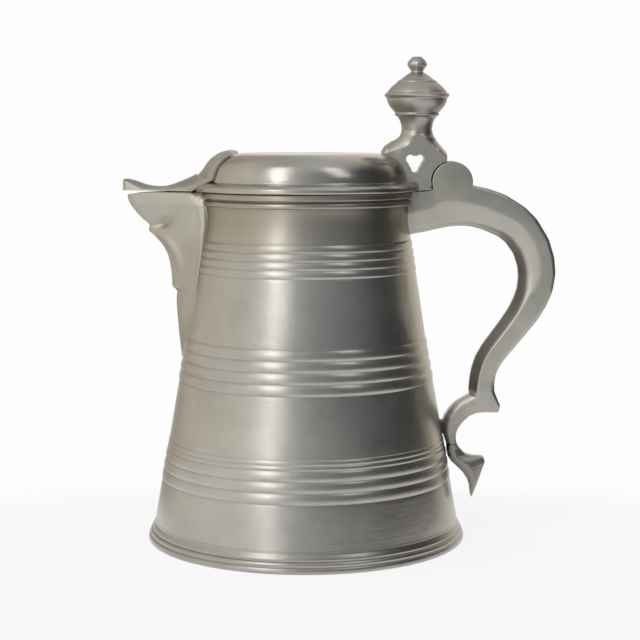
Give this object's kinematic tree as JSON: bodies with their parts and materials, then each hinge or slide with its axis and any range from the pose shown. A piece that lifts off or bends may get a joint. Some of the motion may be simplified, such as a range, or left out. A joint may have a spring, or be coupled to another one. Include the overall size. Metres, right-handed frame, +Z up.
{
  "type": "lidded measuring jug",
  "caption": "Pewter measuring jug: tapered drum with turned ridge bands, keeled spout, scrolled grip and a domed lid that swings on a pin and carries a turned knob.",
  "frame": {"origin": "on the axis of the drum, in the plane the foot stands on", "axes": "+Z up along the drum, +X from the drum to the grip, -X to the spout, +Y across"},
  "size_m": [0.2223, 0.1652, 0.2486],
  "materials": {
    "pewter_turned": "turned pewter with a dull polish",
    "pewter_cast": "filed and scraped cast pewter",
    "hinge_pin": "plain drawn wire"
  },
  "bodies": {
    "jug": {"foot_ring": "pewter_turned", "base_disc": "pewter_turned", "lower_shell": "pewter_turned", "upper_shell": "pewter_turned", "rim_ring": "pewter_turned", "spout": "pewter_cast", "handle_plinth": "pewter_cast", "handle_grip": "pewter_cast", "handle_strut": "pewter_cast", "handle_terminal": "pewter_cast", "hinge_pin": "hinge_pin"},
    "lid": {"lid_dome": "pewter_turned", "lid_ring": "pewter_turned", "spout_cover": "pewter_cast", "thumb_bracket": "pewter_cast", "knob_lower": "pewter_turned", "knob_upper": "pewter_turned", "knob_button": "pewter_turned"}
  },
  "joints": [
    {"name": "lid_hinge", "type": "hinge", "parent": "jug", "child": "lid", "pos_m": [0.0749, 0, 0.1851], "axis": [0, 1, 0], "range_deg": [0, 105]}
  ]
}
